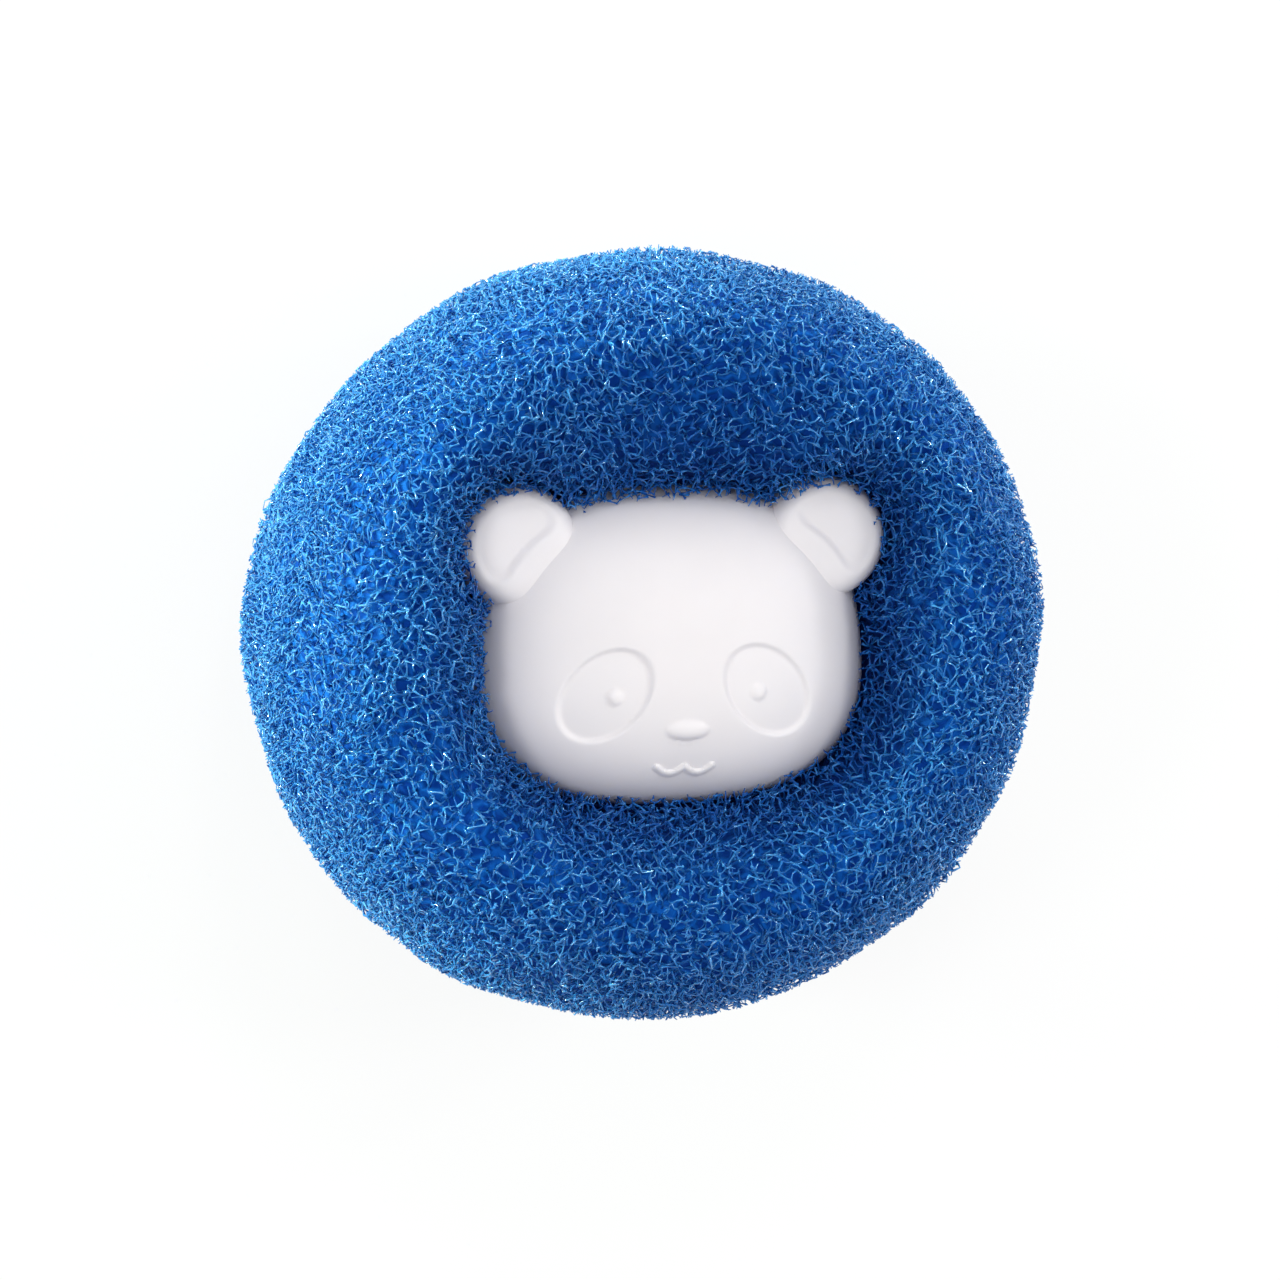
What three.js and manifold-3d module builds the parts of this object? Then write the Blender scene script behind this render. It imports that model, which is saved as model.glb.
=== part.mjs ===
// A pet hair laundry ball: an open-cell foam ring squeezed between two hollow animal-head caps.
// The front cap's split post runs through the ring's hole and snaps into the rear cap's socket.
// Millimetres, +Z up. The ring lies on its back with the face up, and the origin is under its centre.
import * as THREE from "three";
import { mergeVertices } from "three/addons/utils/BufferGeometryUtils.js";
import Module from "manifold-3d";

// Foam ring
const RING_DIAMETER = 65; // mean of its long and short width
const RING_HEIGHT = 42; // from the flat that it rests on to the front crest
const CREST_DIAMETER = 44.8; // circle of the foam's highest points
const CREST_SHIFT = 2.3; // how far that circle lies from the post towards the ears
const OVALITY = 0.018; // how far the ring is out of round, as a share of its radius
const OVAL_TURN = THREE.MathUtils.degToRad(18); // direction of the ring's long width
const FOOT_FLAT = 0.5; // how deep the rear crest is pressed flat where the ring rests
const DIMPLE_MARGIN = 0.45; // from the head's edge to where the foam starts to rise
const EAR_SWELL = 2.3; // how far each ear pushes the foam outwards
const EAR_SWELL_ANGLE = THREE.MathUtils.degToRad(15); // how far round that push is felt
const SLOPE_POWER = 1.8; // superellipse power of the slope from the face to the crest
const FLANK_POWER = 2.15; // superellipse power of the outside, from the crest to the widest part

// Caps: a domed head with two round ears, moulded as an open-backed shell
const HEAD_WIDTH = 33.1;
const HEAD_LENGTH = 26.2; // from chin to crown
const CAP_HEIGHT = 8.8; // from the rim to the top of the dome
const FACE_RECESS = 4.2; // how far the dome's top lies below the foam's crest
const CHEEK = 0.05; // how much wider the head is at the chin end than at its middle
const OUTLINE_POWER = 2.6; // superellipse power of the head's outline
const DOME_POWER = 2.2; // superellipse power of the dome's section
const EAR_DIAMETER = 10.1;
const EAR_TUCK = { side: 3.65, top: 4.45 }; // from the head's side and crown in to an ear's centre
const EAR_HEIGHT = 5.8; // from the rim to the top of an ear
const EAR_POWER = 5; // superellipse power of an ear's section
const WALL = 1.5; // shell thickness
const RIB_THICKNESS = 1.2;
const RIB_SETBACK = 1.6; // from the rim to the edge of a rib
const CONTACT_HEIGHT = 3; // from the rim to where the foam meets the side of the cap

// Face relief
const RELIEF_DEPTH = 0.35; // of the sunken eye patches and inner ears
const EYE_SPACING = 13.4; // between the eye patches' centres
const EYE_DROP = 3.35; // from the head's middle down to the eye patches
const EYE_PATCH = { long: 9, short: 6.6, tilt: THREE.MathUtils.degToRad(45) };
const PUPIL = { diameter: 1.6, rise: 0.25, spacing: 11.7, drop: 3.45 };
const NOSE = { width: 4.1, length: 1.9, rise: 0.4, drop: 6.25 };
const MOUTH = { width: 4.6, depth: 0.6, drop: 9.45, bead: 0.5 };
const EAR_BORDER = 1.1; // rim left round the sunken inner ear
const EAR_INSET = 1.3; // from the head's edge, seen from the front, to the inner ear

// Snap joint along the middle
const POST_DIAMETER = 6.8;
const POST_BORE = 3.8;
const PRESS_TRAVEL = 4; // how far the front cap can be pushed in against the foam
const BARB_REACH = 0.75; // how far the barbs stand out from the post
const BARB_LENGTH = 3.4;
const TIP_DIAMETER = 5.6;
const PRONG_SLOT = 1.1; // width of the crossed slots that split the post
const PRONG_ROOT = 1.5; // from the end of the slots to the collar
const COLLAR_DIAMETER = 10.4;
const LEDGE_THICKNESS = 2; // the socket's lip, which the barbs hook under
const LEAD_IN = 0.6; // chamfer at the socket's mouth
const SOCKET_WALL = 1.5;
const MOUTH_RISE = 2; // how far the socket reaches past the ring's middle
const KEY = { width: 1.2, reach: 0.7, depth: 1.6 }; // fin that keeps the two heads in line

// Clearances
const SEAT_GAP = 0.3; // between pieces that touch end to end
const SIDE_GAP = 0.35; // between a cap's side and the foam round it
const SLIDE_GAP = 0.3; // between the post and the socket's lip, all round
const WELD = 0.5; // how far a moulded feature runs into the wall that carries it

// Facets
const OUTSIDE = { sides: 72, rings: 9, earSides: 32, earRings: 5 };
const INSIDE = { sides: 40, rings: 5, earSides: 18, earRings: 3 };
const ROUND_SIDES = 28;
const FOAM_SIDES = 40;
const FOAM_STEPS = 5; // along each quarter of the foam's section

// Sizes that follow from the ones above
const ringRadius = RING_DIAMETER / 2;
const crestRadius = CREST_DIAMETER / 2;
const ringHalfHeight = (RING_HEIGHT + FOOT_FLAT) / 2;
const middle = RING_HEIGHT - ringHalfHeight; // height of the ring's middle plane
const seat = ringHalfHeight - FACE_RECESS - CAP_HEIGHT; // from the middle plane to a cap's rim
const headX = HEAD_WIDTH / 2;
const headY = HEAD_LENGTH / 2;
const earX = headX - EAR_TUCK.side;
const earRadius = EAR_DIAMETER / 2;
const headDrop = (earRadius - EAR_TUCK.top) / 2; // centres the whole outline on the post
const earY = headY - EAR_TUCK.top - headDrop;
const postRadius = POST_DIAMETER / 2;
const throatRadius = postRadius + SLIDE_GAP;
const barbRadius = postRadius + BARB_REACH;
const chamberRadius = barbRadius + SLIDE_GAP;
const socketRadius = chamberRadius + SOCKET_WALL;
const hubRadius = Math.max(socketRadius, COLLAR_DIAMETER / 2) + SIDE_GAP;
const mouthPlane = MOUTH_RISE - seat; // in the front cap's frame, as the next three are
const ledgePlane = mouthPlane - LEDGE_THICKNESS;
const collarEnd = mouthPlane + PRESS_TRAVEL + SEAT_GAP;
const tipEnd = ledgePlane - SEAT_GAP - BARB_LENGTH;
const weldTop = CAP_HEIGHT - WALL + WELD;

const wasm = await Module();
wasm.setup();

// Closed solid of a geometry, with its faces turned outwards.
function solid(geometry) {
  const bare = geometry.clone();
  bare.deleteAttribute("normal");
  bare.deleteAttribute("uv");
  const merged = mergeVertices(bare, 1e-4);
  const triVerts = new Uint32Array(merged.index.array);
  const vertProperties = new Float32Array(merged.attributes.position.array);
  const made = new wasm.Manifold(new wasm.Mesh({ numProp: 3, vertProperties, triVerts }));
  if (made.volume() > 0) return made;
  for (let i = 0; i < triVerts.length; i += 3) {
    [triVerts[i + 1], triVerts[i + 2]] = [triVerts[i + 2], triVerts[i + 1]];
  }
  return new wasm.Manifold(new wasm.Mesh({ numProp: 3, vertProperties, triVerts }));
}

// Geometry of a solid, for a mesh.
function geometryOf(made) {
  const { vertProperties, triVerts } = made.getMesh();
  const geometry = new THREE.BufferGeometry();
  geometry.setAttribute("position", new THREE.BufferAttribute(vertProperties, 3));
  geometry.setIndex(new THREE.BufferAttribute(triVerts, 1));
  geometry.computeVertexNormals();
  return geometry;
}

// Power of a sine or cosine that keeps its sign, for superellipses.
function signedPower(value, power) {
  return Math.sign(value) * Math.abs(value) ** power;
}

// Closed skin over rings of points that lie one after another and have as many points each.
// A ring of one point is a pole, and with no poles the last ring joins the first.
function skin(rings) {
  const sides = Math.max(...rings.map((ring) => ring.length));
  const first = [];
  const positions = [];
  for (const ring of rings) {
    first.push(positions.length / 3);
    for (const point of ring) positions.push(...point);
  }
  const vertex = (ring, side) => first[ring] + (rings[ring].length === 1 ? 0 : side % sides);
  const faces = [];
  const closed = rings[0].length > 1;
  const bands = closed ? rings.length : rings.length - 1;
  for (let band = 0; band < bands; band += 1) {
    const next = (band + 1) % rings.length;
    for (let side = 0; side < sides; side += 1) {
      const [a, b] = [vertex(band, side), vertex(band, side + 1)];
      const [c, d] = [vertex(next, side), vertex(next, side + 1)];
      if (a !== b) faces.push(a, b, d);
      if (c !== d) faces.push(a, d, c);
    }
  }
  const geometry = new THREE.BufferGeometry();
  geometry.setAttribute("position", new THREE.Float32BufferAttribute(positions, 3));
  geometry.setIndex(faces);
  return geometry;
}

// Dome over an outline: rings shrink from the rim to the top along a superellipse section.
function dome(height, power, rings, sides, outlinePoint) {
  const made = [[[0, 0, 0]]];
  for (let ring = 0; ring < rings; ring += 1) {
    const turn = (ring / rings) * (Math.PI / 2);
    const share = Math.cos(turn) ** (2 / power);
    const z = height * Math.sin(turn) ** (2 / power);
    made.push(Array.from({ length: sides }, (_, i) => {
      const [x, y] = outlinePoint((i / sides) * 2 * Math.PI, share);
      return [x, y, z];
    }));
  }
  const [x, y] = outlinePoint(0, 0);
  made[0] = [[x, y, 0]];
  made.push([[x, y, height]]);
  return solid(skin(made));
}

// Point of the head's outline, grown by an offset and shrunk by a share.
function headPoint(angle, share = 1, offset = 0) {
  const across = signedPower(Math.cos(angle), 2 / OUTLINE_POWER) * share;
  const along = signedPower(Math.sin(angle), 2 / OUTLINE_POWER) * share;
  const x = (headX + offset) * across * (1 - CHEEK * along);
  return [x, (headY + offset) * along - headDrop];
}

// Height of the head's dome above the rim at a point of the face.
function faceHeight(x, y) {
  const along = (y + headDrop) / headY;
  const across = x / (headX * (1 - CHEEK * along));
  const share = Math.abs(across) ** OUTLINE_POWER + Math.abs(along) ** OUTLINE_POWER;
  return CAP_HEIGHT * (1 - share ** (DOME_POWER / OUTLINE_POWER)) ** (1 / DOME_POWER);
}

// Head and ears as one solid, grown by an offset on its outside.
function headSolid(offset, facets) {
  const head = dome(CAP_HEIGHT + offset, DOME_POWER, facets.rings, facets.sides, (angle, share) =>
    headPoint(angle, share, offset));
  return [-1, 1].reduce((made, side) => made.add(earSolid(side, offset, facets)), head);
}

// One ear: a flat disc with a rounded edge.
function earSolid(side, offset, facets) {
  const radius = earRadius + offset;
  return dome(EAR_HEIGHT + offset, EAR_POWER, facets.earRings, facets.earSides, (angle, share) => [
    side * earX + radius * share * Math.cos(angle),
    earY + radius * share * Math.sin(angle),
  ]);
}

// Solid turned about Z from a closed profile of [radius, height] pairs.
function turned(profile) {
  const points = [...profile, profile[0]].map(([r, z]) => new THREE.Vector2(r, z));
  return solid(new THREE.LatheGeometry(points, ROUND_SIDES).rotateX(Math.PI / 2));
}

// Prism of an outline, between two heights.
function prism(points, low, high) {
  const shape = new THREE.Shape(points.map(([x, y]) => new THREE.Vector2(x, y)));
  const settings = { depth: high - low, bevelEnabled: false };
  return solid(new THREE.ExtrudeGeometry(shape, settings).translate(0, 0, low));
}

// Points of an ellipse, tilted about its centre.
function ellipsePoints(x, y, long, short, tilt, sides) {
  return Array.from({ length: sides }, (_, i) => {
    const angle = (i / sides) * 2 * Math.PI;
    const along = (long / 2) * Math.cos(angle);
    const across = (short / 2) * Math.sin(angle);
    return [
      x + along * Math.cos(tilt) - across * Math.sin(tilt),
      y + along * Math.sin(tilt) + across * Math.cos(tilt),
    ];
  });
}

// Ellipsoid boss that stands proud of the face at a point, or of a patch sunk into it.
function boss(x, y, width, length, rise, sunk = 0) {
  const ball = new THREE.SphereGeometry(1, 16, 10);
  ball.scale(width / 2, length / 2, 2 * rise);
  return solid(ball.translate(x, y, faceHeight(x, y) - sunk - rise));
}

// The back of a cap, where the ribs tie the middle tube to the shell.
function ribs(tubeRadius) {
  const reach = Math.max(headX, headY) * 2;
  const plate = [RIB_THICKNESS, CAP_HEIGHT - RIB_SETBACK];
  const lift = RIB_SETBACK + plate[1] / 2;
  const along = solid(new THREE.BoxGeometry(reach, ...plate).rotateX(Math.PI / 2));
  const across = solid(new THREE.BoxGeometry(reach, ...plate).rotateX(Math.PI / 2).rotateZ(Math.PI / 2));
  const cross = along.add(across).translate([0, 0, lift]);
  const tube = prism(ellipsePoints(0, 0, 2 * tubeRadius, 2 * tubeRadius, 0, ROUND_SIDES), 0, CAP_HEIGHT);
  return cross.subtract(tube).intersect(headSolid(WELD - WALL, INSIDE));
}

// Open-backed shell of a cap, with its ribs.
function shell(tubeRadius) {
  return headSolid(0, OUTSIDE).subtract(headSolid(-WALL, INSIDE)).add(ribs(tubeRadius));
}

// Points round the head's outline, grown by an offset.
function headOutline(offset, sides) {
  return Array.from({ length: sides }, (_, i) => headPoint((i / sides) * 2 * Math.PI, 1, offset));
}

// Sunken eye patches and inner ears, as tools that stop at the depth of the relief.
function reliefTools() {
  const floor = headSolid(-RELIEF_DEPTH, OUTSIDE);
  const patches = [-1, 1].map((side) => prism(ellipsePoints(
    (side * EYE_SPACING) / 2, -headDrop - EYE_DROP,
    EYE_PATCH.long, EYE_PATCH.short, -side * EYE_PATCH.tilt, OUTSIDE.earSides,
  ), CAP_HEIGHT / 2, CAP_HEIGHT + 1));
  const head = prism(headOutline(-EAR_INSET, OUTSIDE.sides), 0, CAP_HEIGHT + 1);
  const innerEar = EAR_DIAMETER - 2 * EAR_BORDER;
  const ears = [-1, 1].map((side) => prism(ellipsePoints(
    side * earX, earY, innerEar, innerEar, 0, OUTSIDE.earSides,
  ), EAR_HEIGHT / 2, CAP_HEIGHT).subtract(head));
  return [...patches, ...ears].map((tool) => tool.subtract(floor));
}

// One side of the mouth: a bead along a hanging arc, half sunk into the dome.
function mouthBead(side) {
  const arc = MOUTH.width / 4;
  const top = -headDrop - MOUTH.drop;
  const points = Array.from({ length: 13 }, (_, i) => {
    const angle = (i / 12) * Math.PI;
    const x = side * arc + arc * Math.cos(angle);
    const y = top - MOUTH.depth * Math.sin(angle);
    return new THREE.Vector3(x, y, faceHeight(x, y));
  });
  const section = ellipsePoints(0, 0, MOUTH.bead, MOUTH.bead, 0, 8);
  const shape = new THREE.Shape(section.map(([x, y]) => new THREE.Vector2(x, y)));
  const path = new THREE.CatmullRomCurve3(points, false, "centripetal");
  return solid(new THREE.ExtrudeGeometry(shape, { steps: 14, extrudePath: path }));
}

// Split post with barbed prongs, a collar that stops it, and a fin that keys it to the socket.
function snapPost() {
  const bore = POST_BORE / 2;
  const shoulder = ledgePlane - SEAT_GAP;
  const post = turned([
    [bore, tipEnd], [TIP_DIAMETER / 2, tipEnd], [barbRadius, shoulder - BARB_REACH / 2],
    [barbRadius, shoulder], [postRadius, shoulder], [postRadius, collarEnd],
    [COLLAR_DIAMETER / 2, collarEnd], [COLLAR_DIAMETER / 2, weldTop], [bore, weldTop],
  ]);
  const slotTop = collarEnd - PRONG_ROOT;
  const slot = new THREE.BoxGeometry(PRONG_SLOT, 4 * barbRadius, slotTop - tipEnd + 1);
  slot.translate(0, 0, (slotTop + tipEnd - 1) / 2);
  const slots = [1, 3].map((eighth) => solid(slot.clone().rotateZ((eighth * Math.PI) / 4)));
  const finEnd = mouthPlane - KEY.depth;
  const fin = new THREE.BoxGeometry(KEY.width, KEY.reach + WELD, collarEnd + WELD - finEnd);
  fin.translate(0, postRadius + (KEY.reach - WELD) / 2, (collarEnd + WELD + finEnd) / 2);
  return slots.reduce((made, tool) => made.subtract(tool), post).add(solid(fin));
}

// Socket with an inner lip, in the rear cap's frame, where the middle plane lies at minus seat.
function socket() {
  const mouth = -seat - MOUTH_RISE;
  const lip = mouth + LEDGE_THICKNESS;
  const tube = turned([
    [throatRadius + LEAD_IN, mouth], [socketRadius, mouth], [socketRadius, weldTop],
    [chamberRadius, weldTop], [chamberRadius, lip], [throatRadius, lip], [throatRadius, mouth + LEAD_IN],
  ]);
  const keyway = new THREE.BoxGeometry(
    KEY.width + 2 * SLIDE_GAP, KEY.reach + 2 * SLIDE_GAP, LEDGE_THICKNESS + 2);
  keyway.translate(0, postRadius + KEY.reach / 2, mouth + LEDGE_THICKNESS / 2);
  return tube.subtract(solid(keyway));
}

// Front cap: the face, with its post.
function frontCap() {
  const pupilY = -headDrop - PUPIL.drop;
  const noseY = -headDrop - NOSE.drop;
  let cap = shell(POST_DIAMETER / 2).add(snapPost());
  for (const tool of reliefTools()) cap = cap.subtract(tool);
  for (const side of [-1, 1]) {
    cap = cap.add(mouthBead(side));
    const pupilX = (side * PUPIL.spacing) / 2;
    cap = cap.add(boss(pupilX, pupilY, PUPIL.diameter, PUPIL.diameter, PUPIL.rise, RELIEF_DEPTH));
  }
  return cap.add(boss(0, noseY, NOSE.width, NOSE.length, NOSE.rise));
}

// Rear cap: the same head, plain, with the socket.
function rearCap() {
  return shell(chamberRadius + SOCKET_WALL / 2).add(socket());
}

// Radius of the foam's dimple where it meets the cap, in a direction from the middle.
function dimpleRadius(angle) {
  const across = Math.abs(Math.cos(angle)) / (headX + DIMPLE_MARGIN);
  const along = Math.abs(Math.sin(angle)) / (headY + headDrop + DIMPLE_MARGIN);
  return (across ** OUTLINE_POWER + along ** OUTLINE_POWER) ** (-1 / OUTLINE_POWER);
}

// How strongly the ears push the foam outwards in a direction, from 0 to 1.
function earPush(angle) {
  const earAngle = Math.atan2(earY, earX);
  return [earAngle, Math.PI - earAngle].reduce((sum, at) => {
    const off = Math.atan2(Math.sin(angle - at), Math.cos(angle - at));
    return sum + Math.exp(-((off / EAR_SWELL_ANGLE) ** 2));
  }, 0);
}

// Radius of the crest's circle in a direction from the post.
function crestReach(angle) {
  const across = CREST_SHIFT * Math.cos(angle);
  return CREST_SHIFT * Math.sin(angle) + Math.sqrt(crestRadius ** 2 - across ** 2);
}

// Closed section of the foam ring in one direction, as [radius, height over the middle plane].
function foamSection(angle) {
  const push = EAR_SWELL * earPush(angle);
  const inner = dimpleRadius(angle) + push;
  const crest = crestReach(angle) + push / 2;
  const outer = ringRadius * (1 + OVALITY * Math.cos(2 * (angle - OVAL_TURN)));
  const contact = seat + CONTACT_HEIGHT;
  const quarter = (step) => (step / FOAM_STEPS) * (Math.PI / 2);
  const upper = [[hubRadius, contact]];
  for (let step = 0; step <= FOAM_STEPS; step += 1) {
    const u = quarter(step);
    upper.push([
      crest - (crest - inner) * Math.cos(u) ** (2 / SLOPE_POWER),
      contact + (ringHalfHeight - contact) * Math.sin(u) ** (2 / SLOPE_POWER),
    ]);
  }
  for (let step = 1; step < FOAM_STEPS; step += 1) {
    const u = quarter(step);
    upper.push([
      crest + (outer - crest) * Math.sin(u) ** (2 / FLANK_POWER),
      ringHalfHeight * Math.cos(u) ** (2 / FLANK_POWER),
    ]);
  }
  const lower = upper.map(([r, z]) => [r, -z]).reverse();
  return [...upper, [outer, 0], ...lower];
}

// Outline of a cap with its clearance, from the foam pressed by its rim upwards.
function capPocket() {
  const [low, high] = [seat - SEAT_GAP, ringHalfHeight + 1];
  const ear = EAR_DIAMETER + 2 * SIDE_GAP;
  return [-1, 1].reduce((made, side) => made.add(prism(
    ellipsePoints(side * earX, earY, ear, ear, 0, INSIDE.earSides), low, high,
  )), prism(headOutline(SIDE_GAP, INSIDE.sides), low, high));
}

// Foam ring: a fat ring with a pocket for each cap and a flat where it rests.
function foamRing() {
  const sections = Array.from({ length: FOAM_SIDES }, (_, i) => {
    const angle = (i / FOAM_SIDES) * 2 * Math.PI;
    return foamSection(angle).map(([r, z]) => [r * Math.cos(angle), r * Math.sin(angle), z]);
  });
  const floor = new THREE.BoxGeometry(2 * RING_DIAMETER, 2 * RING_DIAMETER, RING_HEIGHT);
  floor.translate(0, 0, -middle - RING_HEIGHT / 2);
  return solid(skin(sections))
    .subtract(capPocket())
    .subtract(capPocket().rotate([0, 180, 0]))
    .subtract(solid(floor));
}

// Finishes
const whitePlastic = new THREE.MeshStandardMaterial({ color: 0xf1eff0, roughness: 0.32, metalness: 0 });
const blueFoam = new THREE.MeshStandardMaterial({ color: 0x1a5db0, roughness: 0.75, metalness: 0 });

// Named mesh of one piece.
function piece(name, made, material) {
  const mesh = new THREE.Mesh(geometryOf(made), material);
  mesh.name = name;
  return mesh;
}

const front = new THREE.Group();
front.position.z = middle + seat;
front.add(piece("face_cap", frontCap(), whitePlastic));

const rear = new THREE.Group();
rear.position.z = middle - seat;
rear.rotation.y = Math.PI;
rear.add(piece("rear_cap", rearCap(), whitePlastic));

const foam = new THREE.Group();
foam.position.z = middle;
foam.add(piece("foam_ring", foamRing(), blueFoam));

const laundryBall = new THREE.Group();
laundryBall.add(front, rear, foam);

export default laundryBall;
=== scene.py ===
import itertools
import math

import bpy
import numpy as np
from mathutils import Matrix, Vector
from mathutils.bvhtree import BVHTree


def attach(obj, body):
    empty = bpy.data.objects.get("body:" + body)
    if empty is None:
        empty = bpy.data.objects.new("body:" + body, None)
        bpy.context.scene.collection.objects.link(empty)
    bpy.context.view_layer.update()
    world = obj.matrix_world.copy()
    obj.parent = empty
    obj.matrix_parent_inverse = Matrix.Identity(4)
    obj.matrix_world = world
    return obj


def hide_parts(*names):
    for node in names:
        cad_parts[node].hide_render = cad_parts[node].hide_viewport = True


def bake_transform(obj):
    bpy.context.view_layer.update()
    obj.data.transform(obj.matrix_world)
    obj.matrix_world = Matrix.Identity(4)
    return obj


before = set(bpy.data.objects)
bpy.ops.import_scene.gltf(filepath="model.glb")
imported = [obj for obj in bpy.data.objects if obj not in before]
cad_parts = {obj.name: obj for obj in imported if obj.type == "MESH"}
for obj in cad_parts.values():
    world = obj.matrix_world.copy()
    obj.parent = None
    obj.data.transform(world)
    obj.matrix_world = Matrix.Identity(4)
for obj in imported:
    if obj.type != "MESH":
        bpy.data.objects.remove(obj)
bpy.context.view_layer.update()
chance = np.random.default_rng(11)

MM = 0.001

# The two heads, in millimetres, with heights from a cap's rim
MIDDLE = 20.75  # the ring's middle plane, above the floor
SEAT = 8.25  # a cap's rim, above or below the middle plane
HEAD = np.array([16.55, 13.1])  # half the head's width and length
HEAD_DROP = 0.3  # how far the head's middle lies below the post
CAP_HEIGHT = 8.8
CHEEK = 0.05  # how much the head narrows to its crown and widens to its chin, as a share
OUTLINE_POWER, DOME_POWER = 2.6, 2.2
EAR = {"x": 12.9, "y": 8.35, "radius": 5.05, "height": 5.8, "power": 5.0}
RELIEF = 0.35
EYE_PATCH = {"x": 6.7, "y": -3.65, "long": 4.5, "short": 3.3, "edge": 0.42}
PUPIL = {"x": 5.85, "y": -3.75, "radius": 0.8, "rise": 0.25}
NOSE = {"y": -6.55, "across": 2.05, "along": 0.95, "rise": 0.4}
BOSS = {"reach": 1.3, "ease": 0.12}  # how far a pupil or the nose eases into the face
MOUTH = {"y": -9.75, "arc": 1.15, "depth": 0.6, "bead": 0.25, "ease": 0.06}
INNER_EAR = {"radius": 3.95, "head_inset": 1.3, "edge": 0.7, "ease": 1.6, "loss": 0.75, "fade": (0.5, 4.5)}
SKIN = {"proud": 0.03, "floor": 0.1}  # the fine skin stands out of a cap's facets and ends above its rim
HOLLOW = {"inset": 0.9, "floor": 0.05}  # what is cut out of the fine skin
KEPT = {"inset": 0.6, "floor": 0.02}  # what is kept of the solid, a little into the fine skin
STEM = {"radius": 6.3, "length": 30, "rise": 0.5}  # round the post and the socket, also kept
FINE = {"head": (384, 120), "ear": (112, 44)}  # sides and steps of a dome
COARSE = {"head": (72, 16), "ear": (32, 8)}
CUT_TOLERANCE = 1e-7
MERGE_DISTANCE = 1e-6
SMOOTH_ANGLE = math.radians(38)

# The foam, in millimetres, with heights from the ring's middle plane
RING = {"radius": 32.35, "half_height": 21.25, "oval": 0.018, "turn": math.radians(18)}
CREST = {"radius": 22.4, "shift": 2.3, "blend": 1.5, "give": 0.35, "give_from": 16}  # gives way to ears
OUTLINE = {"least": 9, "most": 21, "steps": 241, "ease": 45}  # where a cap's outline is looked for
CONTACT = 11.25  # height at which the foam meets the side of a cap
SLOPE_POWER, FLANK_POWER = 1.75, 2.15  # roundness inside and outside the crest
TUCK = {"share": 0.97, "inset": 0.1, "crest_gap": 2}  # how the foam's edge goes under a cap's outline
WEB = {"inset": 1.2, "drop": 0.3}  # the foam between the two caps
# Waves of chance ways, with their height and their least and greatest length.
SWELL = {"waves": 9, "height": 0.075, "least": 9, "most": 22}
CORE_DEPTH = 1.2  # how deep the dark core lies
CORE_VOXELS = (0.9, 0.8)
CELL = 1.65  # pitch of the foam's cells
CELL_BLOCK = 40.0  # half the size of the block of cells that the foam is cut from
CELL_TURN = {"angle": 0.7, "axis": (1, 0.6, 0.35)}
CELL_JITTER = 0.13  # unevenness of the cells' corners, as a share of their pitch
CELL_DRIFT = {"waves": 7, "height": 0.3, "least": 9, "most": 17}
# Points between these limits are measured to the foam's outside.
NEAR = {"inside": 11, "outside": 34.5, "height": 22.5, "core": 26.5, "core_height": 7.5}
NET_DEPTH = 1.25  # how deep the strands are modelled
NET_REACH = {"outside": 1.2, "astray": 3}  # how far out a strut's two corners may lie before it is cut
STRAY = {"open": 0.22, "by_cap": 0.7, "cap_reach": 0.9}  # how far cut struts stand out of the foam
CLEAR = {"cap": 0.06, "floor": 0.05, "strut": 0.01}  # room left to the caps and the floor
LEAST = {"room": 0.02, "length": 0.08}  # shorter struts are left out
STRAND = 0.07  # half thickness of a strut, before these factors
STRUT = {"thin": 0.82, "thick": 1.2, "start": 1.9, "waist": 0.8, "end": 1.8, "cut_end": 0.7,
         "bend": 0.18, "overlap": 0.05}
# How light a strut is: by chance, with painted shade making it darker deep down and in the dimples.
TONE_AND_SHADE = {"least": 0.2, "spread": 0.8, "depth": 0.25, "depth_from": 0.3, "dimple": 0.62}
SECTORS = 10


def soft_step(low, high, value):
    t = np.clip((value - low) / (high - low), 0, 1)
    return t * t * (3 - 2 * t)


def soft_min(a, b, blend):
    """The smaller of two values, with the change from one to the other eased."""
    t = np.clip(0.5 + 0.5 * (b - a) / blend, 0, 1)
    return b + (a - b) * t - blend * t * (1 - t)


def points_of(mesh):
    found = np.empty(len(mesh.vertices) * 3)
    mesh.vertices.foreach_get("co", found)
    return found.reshape(-1, 3)


def set_points(mesh, points):
    mesh.vertices.foreach_set("co", np.ascontiguousarray(points, dtype=np.float32).ravel())
    mesh.update()


def only(piece):
    """Makes one piece the selected and active one."""
    bpy.ops.object.select_all(action="DESELECT")
    piece.select_set(True)
    bpy.context.view_layer.objects.active = piece


def combine(piece, tool, operation):
    """Joins a closed tool to a closed piece, or cuts it out, and removes the tool."""
    joint = piece.modifiers.new("joint", "BOOLEAN")
    joint.object, joint.operation, joint.solver = tool, operation, "MANIFOLD"
    only(piece)
    bpy.ops.object.modifier_apply(modifier=joint.name)
    bpy.data.objects.remove(tool)


# The two moulded heads

def head_share(x, y, grow):
    """How far a point lies from the head's middle to its outline, as a share."""
    along = (y + HEAD_DROP) / (HEAD[1] + grow)
    across = x / ((HEAD[0] + grow) * (1 - CHEEK * along))
    return (np.abs(across) ** OUTLINE_POWER + np.abs(along) ** OUTLINE_POWER) ** (1 / OUTLINE_POWER)


def face_height(x, y):
    share = np.minimum(head_share(x, y, 0), 1)
    return CAP_HEIGHT * (1 - share ** DOME_POWER) ** (1 / DOME_POWER)


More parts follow.
